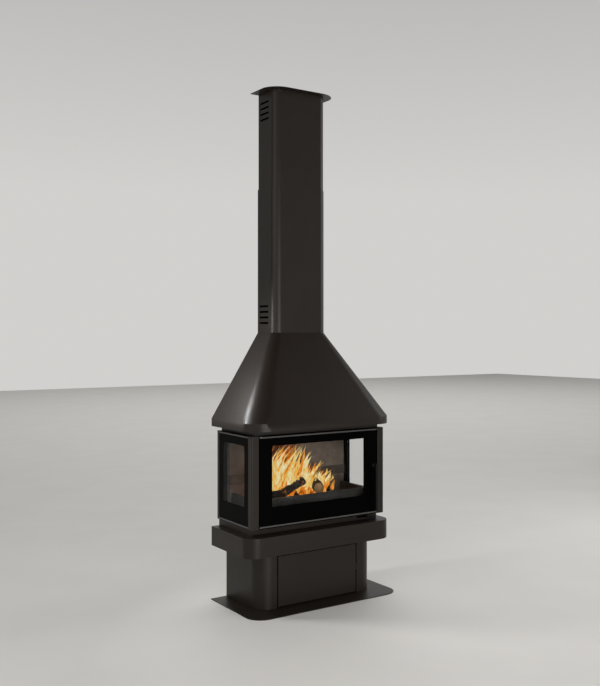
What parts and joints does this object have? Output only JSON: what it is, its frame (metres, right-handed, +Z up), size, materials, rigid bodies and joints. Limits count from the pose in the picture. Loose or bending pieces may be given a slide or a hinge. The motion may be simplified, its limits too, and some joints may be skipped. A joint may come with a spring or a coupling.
{
  "type": "metal fireplace",
  "caption": "Free-standing steel fireplace: log store with door, shelf, three-sided glazed firebox, sloping hood and telescopic flue casing up to a ceiling plate.",
  "frame": {"origin": "on the floor under the middle of the floor plate, which is the bottom centre of the whole box", "axes": "+Z up, +X to the right seen from the front, +Y back towards the wall plane at the rear"},
  "size_m": [0.89, 0.5, 2.744],
  "materials": {
    "casing_paint": "satin heat-proof paint, dark anthracite",
    "frame_black": "matt black heat-proof paint",
    "trim_grey": "satin",
    "handle_black": "satin black",
    "bare_steel": "mill finish",
    "smoked_steel": "smoke stained heat-proof paint",
    "flue_paint": "matt heat-proof paint",
    "hearth_iron": "sooted cast surface",
    "lining_board": "pressed mineral board, smoke stained",
    "pane": "clear fire glass",
    "seal_fibre": "knitted glass-fibre rope and tape"
  },
  "bodies": {
    "fireplace": {"air_bar": "smoked_steel", "air_shutter_guides": "bare_steel", "ash_pan": "bare_steel", "baffle_rails": "bare_steel", "casing_locating_band": "bare_steel", "casing_wall_bracket": "bare_steel", "corner_post_left": "casing_paint", "corner_post_right": "casing_paint", "door_pivot_pins": "bare_steel", "fire_grate": "hearth_iron", "firebox_back_wall": "frame_black", "firebox_floor": "frame_black", "firebox_front_frame": "frame_black", "firebox_top": "frame_black", "floor_plate": "casing_paint", "flue_collar": "flue_paint", "flue_pipe_lower": "flue_paint", "flue_pipe_upper": "flue_paint", "hearth_plate": "hearth_iron", "hearth_supports": "bare_steel", "hood": "casing_paint", "hood_neck": "casing_paint", "latch_keeper": "bare_steel", "log_fence": "hearth_iron", "lower_back_lining": "lining_board", "lower_casing": "casing_paint", "pedestal_back_panel": "bare_steel", "pedestal_casing": "casing_paint", "plinth_frame": "casing_paint", "rear_heat_shield": "bare_steel", "rear_post_left": "casing_paint", "rear_post_right": "casing_paint", "shelf_band": "casing_paint", "shelf_beams": "bare_steel", "shelf_closing_plate": "bare_steel", "side_frame_left": "frame_black", "side_frame_right": "frame_black", "side_glass_left": "pane", "side_glass_right": "pane", "side_glass_strips": "trim_grey", "side_glass_tapes": "seal_fibre", "smoke_baffle": "lining_board", "store_door_catch": "bare_steel", "store_lower_pivot": "handle_black", "store_upper_pivot": "bare_steel", "upper_back_lining": "lining_board"},
    "fire_door": {"door_frame": "frame_black", "door_glass": "pane", "door_glass_tape": "seal_fibre", "door_glass_strips": "trim_grey", "door_rope_seal": "seal_fibre", "handle_rose": "handle_black"},
    "handle": {"door_handle": "handle_black", "handle_spindle": "bare_steel", "latch_cam": "bare_steel"},
    "log_store_door": {"store_door": "casing_paint"},
    "air_control": {"air_shutter": "bare_steel", "air_lever": "handle_black"},
    "sliding_casing": {"upper_casing": "casing_paint", "ceiling_plate": "casing_paint"}
  },
  "joints": [
    {"name": "fire_door_hinge", "type": "hinge", "parent": "fireplace", "child": "fire_door", "pos_m": [-0.3505, -0.134, 0.434], "axis": [0, 0, -1], "range_deg": [0, 100]},
    {"name": "handle_turn", "type": "hinge", "parent": "fire_door", "child": "handle", "pos_m": [0.3405, -0.14, 0.695], "axis": [0, -1, 0], "range_deg": [0, 40]},
    {"name": "log_store_door_hinge", "type": "hinge", "parent": "fireplace", "child": "log_store_door", "pos_m": [-0.233, -0.111, 0.01], "axis": [0, 0, -1], "range_deg": [0, 100]},
    {"name": "air_slide", "type": "slide", "parent": "fireplace", "child": "air_control", "axis": [1, 0, 0], "range_m": [-0.05, 0]},
    {"name": "casing_slide", "type": "slide", "parent": "fireplace", "child": "sliding_casing", "axis": [0, 0, 1], "range_m": [-0.3, 0.15]}
  ]
}
